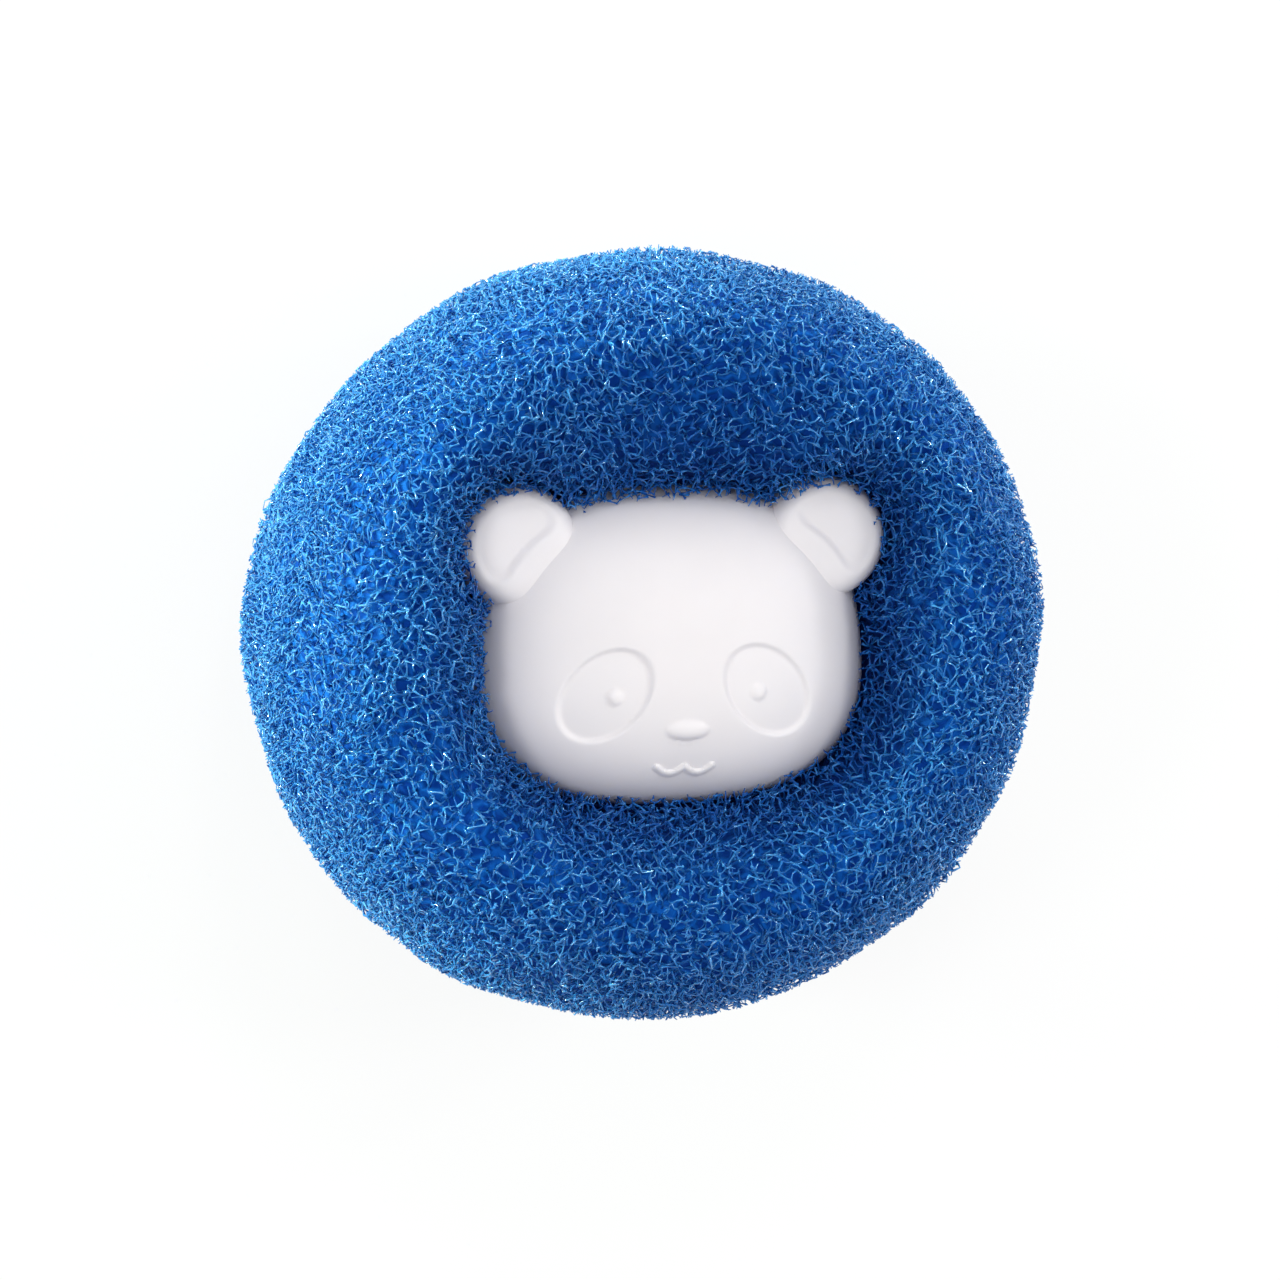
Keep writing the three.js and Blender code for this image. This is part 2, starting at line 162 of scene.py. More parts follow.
def mouth_line():
    reach = np.linspace(-1, 1, 60)
    sag = MOUTH["y"] - MOUTH["depth"] * (1 - reach ** 2)
    arcs = [[side * MOUTH["arc"] + MOUTH["arc"] * reach, sag] for side in (-1, 1)]
    return np.concatenate(arcs, axis=1).T


def face_relief(x, y, z):
    """The face's skin, sunk at the eye patches and raised at the pupils, the nose and the mouth."""
    for side in (-1, 1):
        dx, dy = x - side * EYE_PATCH["x"], y - EYE_PATCH["y"]
        along, across = (dx - side * dy) / math.sqrt(2), (side * dx + dy) / math.sqrt(2)
        reach = np.hypot(along / EYE_PATCH["long"], across / EYE_PATCH["short"])
        z = z - RELIEF * soft_step(0, EYE_PATCH["edge"], (1 - reach) * EYE_PATCH["short"])
    bosses = [(side * PUPIL["x"], PUPIL["y"], PUPIL["radius"], PUPIL["radius"], PUPIL["rise"], RELIEF)
              for side in (-1, 1)]
    bosses.append((0, NOSE["y"], NOSE["across"], NOSE["along"], NOSE["rise"], 0))
    for px, py, across, along, rise, sunk in bosses:
        foot = float(face_height(np.array(px), np.array(py))) - sunk - rise
        reach = np.hypot((x - px) / (across + SKIN["proud"]), (y - py) / (along + SKIN["proud"]))
        top = foot + (2 * rise + SKIN["proud"]) * np.sqrt(np.clip(1 - reach ** 2, 0, 1))
        z = np.where(reach < BOSS["reach"], -soft_min(-z, -top, BOSS["ease"]), z)
    near = np.full(len(x), 9.0)
    for px, py in mouth_line():
        near = np.minimum(near, np.hypot(x - px, y - py))
    bead = MOUTH["bead"] + SKIN["proud"]
    ridge = -soft_min(0, -np.sqrt(np.clip(bead ** 2 - near ** 2, 0, 1)), MOUTH["ease"])
    return z + np.where(near < bead, ridge, 0)


def ear_relief(x, y, z):
    """An ear's skin, sunk inside a border, most beside the head."""
    side = np.sign(x)
    border = INNER_EAR["radius"] - np.hypot(x - side * EAR["x"], y - EAR["y"])
    past_head = (head_share(x, y, -INNER_EAR["head_inset"]) - 1) * HEAD[1]
    sunk = RELIEF * (1 - INNER_EAR["loss"] * soft_step(*INNER_EAR["fade"], past_head))
    return z - sunk * soft_step(0, INNER_EAR["edge"], soft_min(border, past_head, INNER_EAR["ease"]))


def cut_level(height, close):
    """Cuts the active piece level at a height in metres and keeps what is above."""
    bpy.ops.object.mode_set(mode="EDIT")
    bpy.ops.mesh.select_all(action="SELECT")
    bpy.ops.mesh.bisect(plane_co=(0, 0, height), plane_no=(0, 0, 1), clear_inner=True, use_fill=close,
                        threshold=CUT_TOLERANCE)
    bpy.ops.object.mode_set(mode="OBJECT")


def add_dome(name, segments, rings, place, floor):
    """A closed dome: the upper half of a ball, shaped by a formula and cut level at a height."""
    bpy.ops.object.select_all(action="DESELECT")
    bpy.ops.mesh.primitive_uv_sphere_add(segments=segments, ring_count=2 * rings, radius=1)
    dome = bpy.context.object
    dome.name = name
    cut_level(0, False)
    unit = points_of(dome.data)
    low = np.hypot(unit[:, 0], unit[:, 1])
    turn = np.arctan2(unit[:, 1], unit[:, 0])
    x, y, z = place(turn, np.clip(low, 0, 1), np.clip(unit[:, 2], 0, 1))
    set_points(dome.data, np.stack([x, y, z], 1) * MM)
    cut_level(floor * MM, True)
    return dome


def head_place(grow, relief):
    """Gives the formula that shapes a unit dome into the head."""
    def place(turn, low, up):
        round_off = (low ** DOME_POWER + up ** DOME_POWER) ** (-1 / DOME_POWER)
        across, along = np.cos(turn) / (HEAD[0] + grow), np.sin(turn) / (HEAD[1] + grow)
        edge = (np.abs(across) ** OUTLINE_POWER + np.abs(along) ** OUTLINE_POWER) ** (-1 / OUTLINE_POWER)
        reach = edge * low * round_off
        y = reach * np.sin(turn) - HEAD_DROP
        x = reach * np.cos(turn) * (1 - CHEEK * reach * np.sin(turn) / (HEAD[1] + grow))
        z = (CAP_HEIGHT + grow) * up * round_off
        return x, y, face_relief(x, y, z) if relief else z
    return place


def ear_place(side, grow, relief):
    """Gives the formula that shapes a unit dome into an ear."""
    def place(turn, low, up):
        round_off = (low ** EAR["power"] + up ** EAR["power"]) ** (-1 / EAR["power"])
        reach = (EAR["radius"] + grow) * low * round_off
        x, y = side * EAR["x"] + reach * np.cos(turn), EAR["y"] + reach * np.sin(turn)
        z = (EAR["height"] + grow) * up * round_off
        return x, y, ear_relief(x, y, z) if relief else z
    return place


def head_body(name, grow, floor, detail, relief):
    """Head and ears as one closed body, grown all over from the solid's size."""
    head = add_dome(name, *detail["head"], head_place(grow, relief), floor)
    for side in (-1, 1):
        ear = add_dome("ear", *detail["ear"], ear_place(side, grow, relief), floor)
        combine(head, ear, "UNION")
    return head


def merged_copy(node, name):
    """A copy of a solid's mesh with its corners merged."""
    piece = bpy.data.objects.new(name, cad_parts[node].data.copy())
    bpy.context.scene.collection.objects.link(piece)
    only(piece)
    bpy.ops.mesh.customdata_custom_splitnormals_clear()
    bpy.ops.object.mode_set(mode="EDIT")
    bpy.ops.mesh.select_all(action="SELECT")
    bpy.ops.mesh.remove_doubles(threshold=MERGE_DISTANCE)
    bpy.ops.object.mode_set(mode="OBJECT")
    return piece


def moulded_head(name, node, place, relief):
    """A cap's solid, with its post or socket, whose outside is replaced by a fine skin."""
    skin = head_body("skin", SKIN["proud"], SKIN["floor"], FINE, relief)
    combine(skin, head_body("hollow", -HOLLOW["inset"], HOLLOW["floor"], COARSE, False), "DIFFERENCE")
    skin.data.transform(place)
    inside = head_body("inside", -KEPT["inset"], KEPT["floor"], COARSE, False)
    bpy.ops.object.select_all(action="DESELECT")
    stem_middle = STEM["rise"] - STEM["length"] / 2
    bpy.ops.mesh.primitive_cylinder_add(radius=STEM["radius"] * MM, depth=STEM["length"] * MM,
                                        location=(0, 0, stem_middle * MM))
    stem = bpy.context.object
    bpy.ops.object.transform_apply(location=True)
    combine(inside, stem, "UNION")
    inside.data.transform(place)
    cap = merged_copy(node, name)
    combine(cap, inside, "INTERSECT")
    combine(cap, skin, "UNION")
    only(cap)
    bpy.ops.object.shade_smooth_by_angle(angle=SMOOTH_ANGLE)
    return cap


# The foam

def outside_cap(x, y, up, grow):
    """How far a point lies outside a cap, in millimetres and negative inside it. up is from the rim."""
    head = (head_share(x, y, grow) ** DOME_POWER
            + np.clip(up / (CAP_HEIGHT + grow), 0, None) ** DOME_POWER) ** (1 / DOME_POWER)
    ear = np.full(len(x), 9.0)
    for side in (-1, 1):
        reach = np.hypot(x - side * EAR["x"], y - EAR["y"]) / (EAR["radius"] + grow)
        height = np.clip(up / (EAR["height"] + grow), 0, None)
        ear = np.minimum(ear, (reach ** EAR["power"] + height ** EAR["power"]) ** (1 / EAR["power"]))
    shell = np.minimum((head - 1) * HEAD[1], (ear - 1) * EAR["radius"])
    return np.maximum(shell, -up - grow)


def cap_outline(turns):
    """Radius of a cap's outline in each direction from the post, eased where the ears meet the head."""
    reach = np.linspace(OUTLINE["least"], OUTLINE["most"], OUTLINE["steps"])
    x, y = np.cos(turns)[:, None] * reach, np.sin(turns)[:, None] * reach
    inside = head_share(x, y, 0) < 1
    for side in (-1, 1):
        inside |= np.hypot(x - side * EAR["x"], y - EAR["y"]) < EAR["radius"]
    edge = np.where(inside, reach, 0).max(1)
    width = max(1, len(turns) // OUTLINE["ease"])
    window = np.hanning(2 * width + 1) / np.hanning(2 * width + 1).sum()
    return np.convolve(np.concatenate([edge[-width:], edge, edge[:width]]), window, "valid")


def crest_reach(turns):
    """Radius of the foam's crest in each direction from the post."""
    return (CREST["shift"] * np.sin(turns)
            + np.sqrt(CREST["radius"] ** 2 - (CREST["shift"] * np.cos(turns)) ** 2))


def dimple_share(points):
    """How far down a dimple each point lies, from 0 at the crest to 1 at a cap."""
    r, turns = np.hypot(points[:, 0], points[:, 1]), np.arctan2(points[:, 1], points[:, 0])
    drop = (RING["half_height"] - np.abs(points[:, 2] - MIDDLE)) / (RING["half_height"] - CONTACT)
    return np.clip(drop, 0, 1) * soft_step(-CREST["blend"], CREST["blend"], crest_reach(turns) - r)


def wave_way(draw, sizes):
    """A wave's way, drawn by chance and scaled by the wave's length."""
    way = draw.normal(size=3)
    return way * (2 * math.pi / (np.linalg.norm(way) * draw.uniform(sizes["least"], sizes["most"])))


def swell(points):
    """Gentle unevenness of the soft foam, in millimetres."""
    made = np.zeros(len(points))
    draw = np.random.default_rng(5)
    for _ in range(SWELL["waves"]):
        way = wave_way(draw, SWELL)
        made += SWELL["height"] * np.sin(points @ way + draw.uniform(0, 7))
    return made


def foam_skin(sides=240, steps=26):
    """Points of the foam's outside, a row for each direction, and which of them show."""
    turns = np.arange(sides) * 2 * math.pi / sides
    edge = cap_outline(turns)
    quarter = np.linspace(0, math.pi / 2, steps)
    outer = RING["radius"] * (1 + RING["oval"] * np.cos(2 * (turns - RING["turn"])))
    crest = crest_reach(turns) + CREST["give"] * np.clip(edge - CREST["give_from"], 0, None)
    inner = np.minimum(TUCK["share"] * edge - TUCK["inset"], crest - TUCK["crest_gap"])
    slope_r = crest[:, None] - (crest - inner)[:, None] * np.cos(quarter) ** (2 / SLOPE_POWER)
    slope_z = CONTACT + (RING["half_height"] - CONTACT) * np.sin(quarter) ** (2 / SLOPE_POWER)
    flank_r = crest[:, None] + (outer - crest)[:, None] * np.sin(quarter[1:]) ** (2 / FLANK_POWER)
    flank_z = RING["half_height"] * np.cos(quarter[1:]) ** (2 / FLANK_POWER)
    web_r = np.stack([np.full(sides, STEM["radius"]), inner - WEB["inset"]], 1)
    upper_r = np.concatenate([web_r, slope_r, flank_r], 1)
    upper_z = np.concatenate([np.full(2, SEAT - WEB["drop"]), slope_z, flank_z])
    r = np.concatenate([upper_r, upper_r[:, -2::-1]], 1)
    z = np.tile(np.concatenate([upper_z, -upper_z[-2::-1]]), (sides, 1))
    points = np.stack([r * np.cos(turns)[:, None], r * np.sin(turns)[:, None], z + MIDDLE], 2)
    shown = np.ones(r.shape[1], bool)
    shown[:2] = shown[-2:] = False
    return points, shown


def grid_faces(rows, columns):
    """Four-cornered faces of a grid that closes both ways, and each face's column."""
    row, column = np.meshgrid(np.arange(rows), np.arange(columns), indexing="ij")
    after, beside = (row + 1) % rows, (column + 1) % columns
    faces = np.stack([row * columns + column, row * columns + beside,
                      after * columns + beside, after * columns + column], 2)
    return faces.reshape(-1, 4), column.ravel()


def mesh_piece(name, points, faces):
    """A piece from points in millimetres and four-cornered faces."""
    mesh = bpy.data.meshes.new(name)
    mesh.from_pydata(points * MM, [], faces.tolist())
    mesh.update()
    piece = bpy.data.objects.new(name, mesh)
    bpy.context.scene.collection.objects.link(piece)
    return piece


def foam_core(points, faces):
    """The dark middle of the foam: its outside drawn in, remeshed and smoothed."""
    core = mesh_piece("foam_core", points, faces)
    only(core)
    for kind, settings in (
        ("REMESH", {"mode": "VOXEL", "voxel_size": CORE_VOXELS[0] * MM}),
        ("DISPLACE", {"strength": -CORE_DEPTH * MM, "mid_level": 0.0}),
        ("REMESH", {"mode": "VOXEL", "voxel_size": CORE_VOXELS[1] * MM}),
        ("SMOOTH", {"factor": 0.5, "iterations": 10}),
    ):
        step = core.modifiers.new("step", kind)
        for key, value in settings.items():
            setattr(step, key, value)
        bpy.ops.object.modifier_apply(modifier=step.name)
    bpy.ops.object.shade_smooth()
    # Painted shade: how far down a dimple each point lies, which darkens the inside there.
    sunk = core.data.attributes.new("sunk", "FLOAT", "POINT")
    sunk.data.foreach_set("value", dimple_share(points_of(core.data) / MM).astype(np.float32))
    return core


def cell_network(low, high):
    """Corners and edges of a block of foam cells: stacked fourteen-sided cells, drifting and uneven."""
    corners = np.array([p for p in itertools.product(range(4), repeat=3)
                        if sorted(p) in ([0, 1, 2], [0, 2, 3])]) / 4
    links, edge = [], math.sqrt(2) / 4
    for (i, p), (j, q) in itertools.product(enumerate(corners), repeat=2):
        for step in itertools.product((-1, 0, 1), repeat=3):
            once = ((0, 0, 0), i) < (step, j)
            if once and math.isclose(np.linalg.norm(q + step - p), edge, abs_tol=1e-6):
                links.append((i, j, *step))
    links = np.array(links)
    count = np.ceil((high - low) / CELL).astype(int)
    block = np.stack(np.meshgrid(*(np.arange(n) for n in count), indexing="ij"), 3).reshape(-1, 3)
    points = low + CELL * (block[:, None] + corners[None]).reshape(-1, 3)
    edges = []
    for i, j, *step in links:
        to = block + step
        kept = ((to >= 0) & (to < count)).all(1)
        number = (to[kept] * [count[1] * count[2], count[2], 1]).sum(1)
        edges.append(np.stack([np.flatnonzero(kept) * len(corners) + i, number * len(corners) + j], 1))
    points = points + chance.normal(size=points.shape) * CELL_JITTER * CELL
    points = points @ np.array(Matrix.Rotation(CELL_TURN["angle"], 3, Vector(CELL_TURN["axis"])))
    for _ in range(CELL_DRIFT["waves"]):
        way = wave_way(chance, CELL_DRIFT)
        push = chance.normal(size=3)
        push *= CELL_DRIFT["height"] / np.linalg.norm(push)
        points = points + push * np.sin(points @ way + chance.uniform(0, 7))[:, None]
    return points, np.concatenate(edges)


def foam_depth(points, skin, shown_face):
    """How deep each point lies in the foam, whether that side shows, and its room to caps and floor.
    Points far from the foam's outside aren't measured."""
    depth, near = np.full(len(points), -9.0), np.zeros(len(points), bool)
    r, z = np.hypot(points[:, 0], points[:, 1]), points[:, 2] - MIDDLE
    in_core = (r < NEAR["core"]) & (np.abs(z) < NEAR["core_height"])
    asked = (r > NEAR["inside"]) & (r < NEAR["outside"]) & (np.abs(z) < NEAR["height"]) & ~in_core
    for k in np.flatnonzero(asked):
        spot = Vector(points[k])
        place, normal, face, gap = skin.find_nearest(spot)
        depth[k] = -gap if (spot - place).dot(normal) > 0 else gap
        near[k] = shown_face[face]
    x, y = points[:, 0], points[:, 1]
    clear = np.minimum(outside_cap(x, y, z - SEAT, CLEAR["cap"]),
                       outside_cap(-x, y, -z - SEAT, CLEAR["cap"]))
    return depth, near, np.minimum(clear, points[:, 2] - CLEAR["floor"])


def strands(points, faces, columns, shown):
    """The foam's open cells near its outside, as struts that end raggedly where the foam was cut."""
    skin = BVHTree.FromPolygons([Vector(p) for p in points], faces.tolist())
    network, edges = cell_network(np.full(3, -CELL_BLOCK), np.full(3, CELL_BLOCK))
    network[:, 2] += MIDDLE
    depth, near, clear = foam_depth(network, skin, shown[columns])
    a, b = edges.T
    deep = np.minimum(depth[a], depth[b])
    kept = ((np.maximum(depth[a], depth[b]) > -NET_REACH["outside"]) & (deep > -NET_REACH["astray"])
            & (deep < NET_DEPTH) & (near[a] | near[b]))
    a, b = a[kept], b[kept]
    by_cap = np.exp(-(np.minimum(np.abs(clear[a]), np.abs(clear[b])) / STRAY["cap_reach"]) ** 2)
    stray = (chance.uniform(0, STRAY["open"], len(a))
             + by_cap * chance.uniform(0, STRAY["by_cap"], len(a)))
    room_a, room_b = np.minimum(depth[a] + stray, clear[a]), np.minimum(depth[b] + stray, clear[b])
    flip = room_a < room_b
    a, b = np.where(flip, b, a), np.where(flip, a, b)
    room_a, room_b = np.where(flip, room_b, room_a), np.where(flip, room_a, room_b)
    share = np.where(room_b >= 0, 1, np.clip(room_a / np.maximum(room_a - room_b, 1e-6), 0, 1))
    start = network[a]
    end = start + (network[b] - start) * share[:, None]
    good = (room_a > LEAST["room"]) & (np.linalg.norm(end - start, axis=1) > LEAST["length"])
    return start[good], end[good], np.clip(depth[a][good] / NET_DEPTH, 0, 1), share[good] < 1


def net_piece(name, start, end, deep, cut):
    """One part of the open cells, each strut a closed three-sided bar with its own place on the map.
    A strut is a little bent, thick where it meets others and thin at its middle and at a cut end."""
    count = len(start)
    way = end - start
    length = np.linalg.norm(way, axis=1)[:, None]
    way /= length
    side = np.cross(way, chance.normal(size=(count, 3)))
    side /= np.linalg.norm(side, axis=1)[:, None]
    other = np.cross(way, side)
    thick = STRAND * chance.uniform(STRUT["thin"], STRUT["thick"], count)
    waist = (start + end) / 2 + side * length * chance.normal(0, STRUT["bend"], (count, 1))
    tip = np.where(cut, STRUT["cut_end"], STRUT["end"])[:, None]
    bars = np.empty((count, 9, 3))
    for k in range(3):
        turn = 2 * math.pi * k / 3
        reach = (side * math.cos(turn) + other * math.sin(turn)) * thick[:, None]
        bars[:, k] = start - way * STRUT["overlap"] + reach * STRUT["start"]
        bars[:, 3 + k] = waist + reach * STRUT["waist"]
        bars[:, 6 + k] = end + way * STRUT["overlap"] + reach * tip
    bars[:, :, 2] = np.maximum(bars[:, :, 2], CLEAR["strut"])
    corners, spots = [], []
    for level, k in itertools.product((0, 1), range(3)):
        low, after = 3 * level, (k + 1) % 3
        corners += [low + k, low + after, low + 3 + after, low + 3 + k]
        spots += [(k, level), (k + 1, level), (k + 1, level + 1), (k, level + 1)]
    corners = np.array(corners + [2, 1, 0, 6, 7, 8])
    spots = np.array(spots + [(0, 2), (1.5, 2), (1, 3), (1.5, 2), (3, 2), (2, 3)]) / 3
    sizes = np.array([4] * 6 + [3] * 2)
    first = np.concatenate([[0], np.cumsum(sizes)[:-1]])
    number = np.arange(count)
    loop_corners = number[:, None] * bars.shape[1] + corners
    loop_starts = number[:, None] * len(corners) + first
    mesh = bpy.data.meshes.new(name)
    mesh.vertices.add(bars.shape[1] * count)
    mesh.vertices.foreach_set("co", (bars * MM).astype(np.float32).ravel())
    mesh.loops.add(len(corners) * count)
    mesh.loops.foreach_set("vertex_index", loop_corners.astype(np.int32).ravel())
    mesh.polygons.add(len(sizes) * count)
    mesh.polygons.foreach_set("loop_start", loop_starts.astype(np.int32).ravel())
    mesh.polygons.foreach_set("use_smooth", np.ones(len(sizes) * count, bool))
    mesh.update(calc_edges=True)
    across = math.ceil(math.sqrt(count))
    cell = np.stack([number % across, number // across], 1)
    uv = (cell[:, None] + 0.1 + 0.8 * spots[None]) / across
    layer = mesh.uv_layers.new(name="OFBake")
    layer.uv.foreach_set("vector", uv.astype(np.float32).ravel())
    tone_and_shade = mesh.attributes.new("tone_and_shade", "FLOAT", "POINT")
    shade = TONE_AND_SHADE["least"] + TONE_AND_SHADE["spread"] * chance.uniform(0, 1, count) ** 2
    # Painted shade: struts deeper in the foam and further down a dimple are made darker.
    shade = shade - TONE_AND_SHADE["depth"] * (deep - TONE_AND_SHADE["depth_from"]) - TONE_AND_SHADE["dimple"] * dimple_share(waist)
    tone_and_shade.data.foreach_set("value", np.repeat(np.clip(shade, 0, 1), bars.shape[1]).astype(np.float32))
    piece = bpy.data.objects.new(name, mesh)
    bpy.context.scene.collection.objects.link(piece)
    return piece


# Finishes

class Value:
    """A socket in a finish's nodes, so that shader maths reads as plain expressions."""

    def __init__(self, finish, socket):
        self.finish, self.socket = finish, socket

    def maths(self, operation, a, b):
        return self.finish.node("ShaderNodeMath", {"operation": operation}, {0: a, 1: b}, "Value")

    def __add__(self, other):
        return self.maths("ADD", self, other)

    __radd__ = __add__

    def __rsub__(self, other):
        return self.maths("SUBTRACT", other, self)

    def __mul__(self, other):
        return self.maths("MULTIPLY", self, other)


class Finish:
    """A material whose nodes are added by name."""

    def __init__(self, name):
        self.material = bpy.data.materials.new(name)
        self.material.use_nodes = True
        self.tree = self.material.node_tree
        self.shader = self.tree.nodes["Principled BSDF"]

    def node(self, kind, settings, inputs, output):
        """Adds a node, sets its settings, then its inputs, and gives one of its outputs."""
        node = self.tree.nodes.new(kind)
        for key, value in settings.items():
            setattr(node, key, value)
        for key, value in inputs.items():
            self.feed(self.find(node.inputs, key), value)
        return Value(self, self.find(node.outputs, output))

    @staticmethod
    def find(sockets, key):
        if isinstance(key, int):
            return sockets[key]
        return next(s for s in sockets if key in (s.identifier, s.name) and s.enabled)

    def feed(self, socket, value):
        if isinstance(value, Value):
            self.tree.links.new(value.socket, socket)
        else:
            socket.default_value = value

    def set(self, **inputs):
        for key, value in inputs.items():
            self.feed(self.shader.inputs[key.replace("_", " ").title().replace("Ior", "IOR")], value)

    def place(self):
        return self.node("ShaderNodeTexCoord", {}, {}, "Object")

    def noise(self, scale, detail=3.0):
        return self.node("ShaderNodeTexNoise", {}, {
            "Vector": self.place(), "Scale": scale, "Detail": detail}, "Fac")

    def mix(self, share, a, b):
        return self.node("ShaderNodeMix", {"data_type": "RGBA"}, {
            "Factor_Float": share, "A_Color": (*a, 1) if isinstance(a, tuple) else a,
            "B_Color": (*b, 1) if isinstance(b, tuple) else b}, "Result_Color")

    def bump(self, height, strength, distance):
        return self.node("ShaderNodeBump", {}, {
            "Height": height, "Strength": strength, "Distance": distance}, "Normal")


def white_plastic():
    """Satin white moulded plastic with a faint cloudiness and a fine moulded grain."""
    finish = Finish("white_plastic")
    cloud, grain = finish.noise(160.0), finish.noise(5200.0, 2.0)
    finish.set(base_color=finish.mix(cloud, (0.82, 0.79, 0.8), (0.87, 0.84, 0.85)),
               roughness=0.48 + cloud * 0.1, normal=finish.bump(grain, 0.12, 0.00003),
               subsurface_weight=0.3, subsurface_radius=(1.0, 0.95, 0.9), subsurface_scale=0.0015)
    return finish.material


def blue_strands():
    """Glossy blue foam struts, each a little lighter or darker than the next by chance, with painted shade
    on those deep down and in the dimples.
    """
    finish = Finish("blue_strands")
    tone_and_shade = finish.node("ShaderNodeAttribute", {"attribute_name": "tone_and_shade"}, {}, "Fac")
    cloud = finish.noise(110.0)
    light = tone_and_shade * 0.75 + cloud * 0.25
    finish.set(base_color=finish.mix(light, (0.001, 0.06, 0.36), (0.05, 0.38, 0.88)),
               roughness=0.25 + cloud * 0.2, specular_ior_level=0.25, coat_weight=tone_and_shade * tone_and_shade,
               coat_roughness=0.06, coat_ior=2.2)
    return finish.material


def blue_depth():
    """The foam's dark inside: cell edges over darker windows, whose darker blue is painted shade of their
    depth, and painted shade that is darkest down in the dimples beside the caps.
    """
    finish = Finish("blue_depth")
    edge = finish.node("ShaderNodeTexVoronoi", {"feature": "DISTANCE_TO_EDGE"},
                       {"Vector": finish.place(), "Scale": 1000 / CELL}, "Distance")
    wall = finish.node("ShaderNodeMapRange", {"interpolation_type": "SMOOTHSTEP"}, {
        "Value": edge, "From Min": 0.03, "From Max": 0.2, "To Min": 1.0, "To Max": 0.0}, "Result")
    sunk = finish.node("ShaderNodeAttribute", {"attribute_name": "sunk"}, {}, "Fac")
    # The windows' darker blue is painted shade of the deep cells behind them; the lighter cell edges are
    # the foam's own colour.
    open_foam = finish.mix(wall, (0.0006, 0.05, 0.32), (0.0015, 0.11, 0.5))
    # Painted shade: the inside is darkened towards a deep blue down in the dimples.
    finish.set(base_color=finish.mix(sunk * 0.9, open_foam, (0.0003, 0.011, 0.1)),
               roughness=0.9 - wall * 0.2, normal=finish.bump(wall, 0.6, 0.0004), specular_ior_level=0.1)
    return finish.material


def dress(piece, material):
    """Gives a piece its one material."""
    piece.data.materials.clear()
    piece.data.materials.append(material)


# The pieces on their bodies

plastic = white_plastic()
front_place = Matrix.Translation((0, 0, (MIDDLE + SEAT) * MM))
rear_place = Matrix.Translation((0, 0, (MIDDLE - SEAT) * MM)) @ Matrix.Rotation(math.pi, 4, "Y")
face = moulded_head("face_moulding", "face_cap", front_place, True)
dress(face, plastic)
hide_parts("face_cap")
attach(face, "front")
back = moulded_head("rear_moulding", "rear_cap", rear_place, False)
dress(back, plastic)
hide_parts("rear_cap")
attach(back, "rear")

rows, shown = foam_skin()
faces, columns = grid_faces(*rows.shape[:2])
surface = rows.reshape(-1, 3)
heart = np.array([0, 0, MIDDLE])
outward = (surface - heart) / np.linalg.norm(surface - heart, axis=1)[:, None]
surface = surface + outward * (swell(surface) * np.tile(shown, len(rows)))[:, None]
core = foam_core(surface, faces)
dress(core, blue_depth())
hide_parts("foam_ring")
foam_pieces = [core]
start, end, deep, cut = strands(surface, faces, columns, shown)
strand_finish = blue_strands()
middle_of = (start + end) / 2
turned = np.arctan2(middle_of[:, 1], middle_of[:, 0]) / (2 * math.pi) + 0.5
sector = np.floor(turned * SECTORS).astype(int) % SECTORS
for number in range(SECTORS):
    kept = sector == number
    net = net_piece(f"foam_cells_{number + 1}", start[kept], end[kept], deep[kept], cut[kept])
    dress(net, strand_finish)
    foam_pieces.append(net)
for piece in foam_pieces:
    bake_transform(piece)


# Floor, light and camera, in metres

AIM = Vector((0, 0, MIDDLE * MM))
FLOOR = {"size": 6, "drop": 0.0001}
FLOOR_GLOW = 0.85  # share of white that the camera sees on the floor
SKY = {"horizon": 0.45, "overhead": 0.75, "seen": 1.0}
LAMP_DISTANCE = 0.5
CAMERA = {"left": math.tan(math.radians(13.3)), "up": math.tan(math.radians(4.7)),
          "roll": math.radians(0.9), "distance": 0.35, "sensor": 36, "view_width": 0.1077,
          "shift_y": -7.5 / 1280, "nearest": 0.01, "furthest": 20}


def studio_white(name):
    """Pale floor that the camera sees as white, with a weak shadow."""
    finish = Finish(name)
    finish.set(base_color=(0.9, 0.9, 0.9, 1), roughness=0.9)
    path = finish.tree.nodes.new("ShaderNodeLightPath")
    seen = Value(finish, path.outputs["Is Camera Ray"])
    for other in ("Is Glossy Ray", "Is Transmission Ray"):
        seen = seen.maths("MAXIMUM", seen, Value(finish, path.outputs[other]))
    glow = finish.node("ShaderNodeEmission", {}, {"Color": (1, 1, 1, 1), "Strength": 1.0}, "Emission")
    whole = finish.node("ShaderNodeMixShader", {}, {
        0: seen * FLOOR_GLOW, 1: Value(finish, finish.shader.outputs[0]), 2: glow}, "Shader")
    finish.feed(finish.tree.nodes["Material Output"].inputs["Surface"], whole)
    return finish.material


def lay_floor():
    bpy.ops.object.select_all(action="DESELECT")
    bpy.ops.mesh.primitive_plane_add(size=FLOOR["size"], location=(0, 0, -FLOOR["drop"]))
    floor = bpy.context.object
    floor.name = "floor"
    floor.data.materials.append(studio_white("pale_floor"))


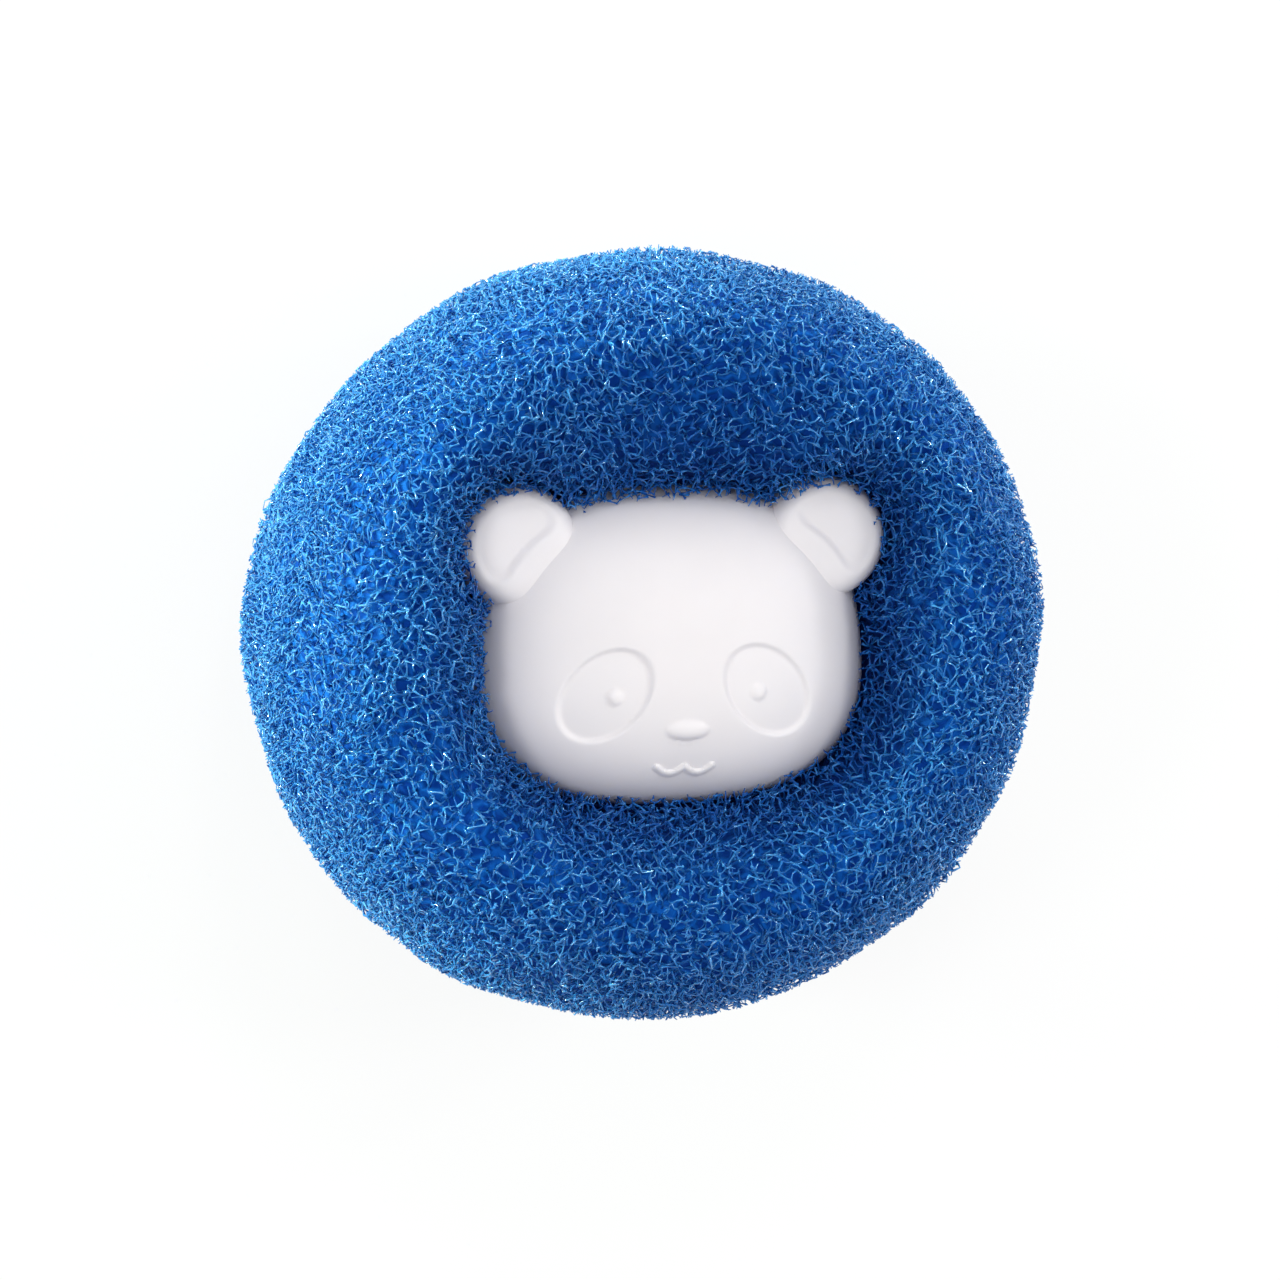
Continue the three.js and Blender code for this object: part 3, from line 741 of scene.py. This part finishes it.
def light_sky():
    """White all round, brightest overhead, and plain white behind the ball."""
    world = bpy.data.worlds.new("studio")
    bpy.context.scene.world = world
    world.use_nodes = True
    sky = world.node_tree
    background = sky.nodes["Background"]
    background.inputs["Color"].default_value = (1, 1, 1, 1)
    path = sky.nodes.new("ShaderNodeLightPath")
    ways = sky.nodes.new("ShaderNodeTexCoord")
    height = sky.nodes.new("ShaderNodeSeparateXYZ")
    fade = sky.nodes.new("ShaderNodeMapRange")
    fade.inputs["To Min"].default_value = SKY["horizon"]
    fade.inputs["To Max"].default_value = SKY["overhead"]
    strength = sky.nodes.new("ShaderNodeMix")
    strength.inputs["B"].default_value = SKY["seen"]
    sky.links.new(ways.outputs["Generated"], height.inputs["Vector"])
    sky.links.new(height.outputs["Z"], fade.inputs["Value"])
    sky.links.new(fade.outputs["Result"], strength.inputs["A"])
    sky.links.new(path.outputs["Is Camera Ray"], strength.inputs["Factor"])
    sky.links.new(strength.outputs["Result"], background.inputs["Strength"])


def soft_lamp(name, way, size, power, tint=(1, 1, 1)):
    """A round lamp that shines on the ball from a given way."""
    lamp = bpy.data.lights.new(name, "AREA")
    lamp.shape, lamp.size, lamp.energy, lamp.color = "DISK", size, power, tint
    holder = bpy.data.objects.new(name, lamp)
    bpy.context.scene.collection.objects.link(holder)
    holder.location = Vector(way).normalized() * LAMP_DISTANCE + AIM
    holder.rotation_euler = (holder.location - AIM).to_track_quat("Z", "Y").to_euler()


def place_camera():
    """The camera looks down on the face from a little to its left."""
    toward = Vector((-CAMERA["left"], CAMERA["up"], 1)).normalized()
    sideways = Vector((0, 1, 0)).cross(toward).normalized()
    upright = toward.cross(sideways)
    level = Matrix((sideways, upright, toward)).transposed()
    turn = level @ Matrix.Rotation(-CAMERA["roll"], 3, "Z")
    lens = bpy.data.cameras.new("camera")
    lens.sensor_width, lens.sensor_fit = CAMERA["sensor"], "HORIZONTAL"
    lens.lens = CAMERA["sensor"] * CAMERA["distance"] / CAMERA["view_width"]
    lens.shift_x, lens.shift_y = 0, CAMERA["shift_y"]
    lens.clip_start, lens.clip_end = CAMERA["nearest"], CAMERA["furthest"]
    camera = bpy.data.objects.new("camera", lens)
    bpy.context.scene.collection.objects.link(camera)
    camera.matrix_world = Matrix.Translation(AIM + toward * CAMERA["distance"]) @ turn.to_4x4()
    bpy.context.scene.camera = camera


lay_floor()
light_sky()
soft_lamp("key", (0.8, 0.35, 0.5), 0.05, 0.3)
soft_lamp("left", (-1.0, 0.22, 0.04), 0.12, 5.6, (0.78, 1.0, 0.7))
soft_lamp("top", (-0.3, 1.0, 0.06), 0.12, 1.7, (0.78, 1.0, 0.72))
soft_lamp("right", (0.85, 0.6, 0.05), 0.12, 1.4, (0.78, 1.0, 0.72))
soft_lamp("high_left", (-0.6, 0.0, 0.8), 0.1, 0.46)
soft_lamp("high_right", (0.6, 0.1, 0.8), 0.1, 0.42)
soft_lamp("high_top", (0.0, 0.6, 0.8), 0.1, 0.32)
place_camera()
bpy.context.scene.view_settings.view_transform = "Standard"
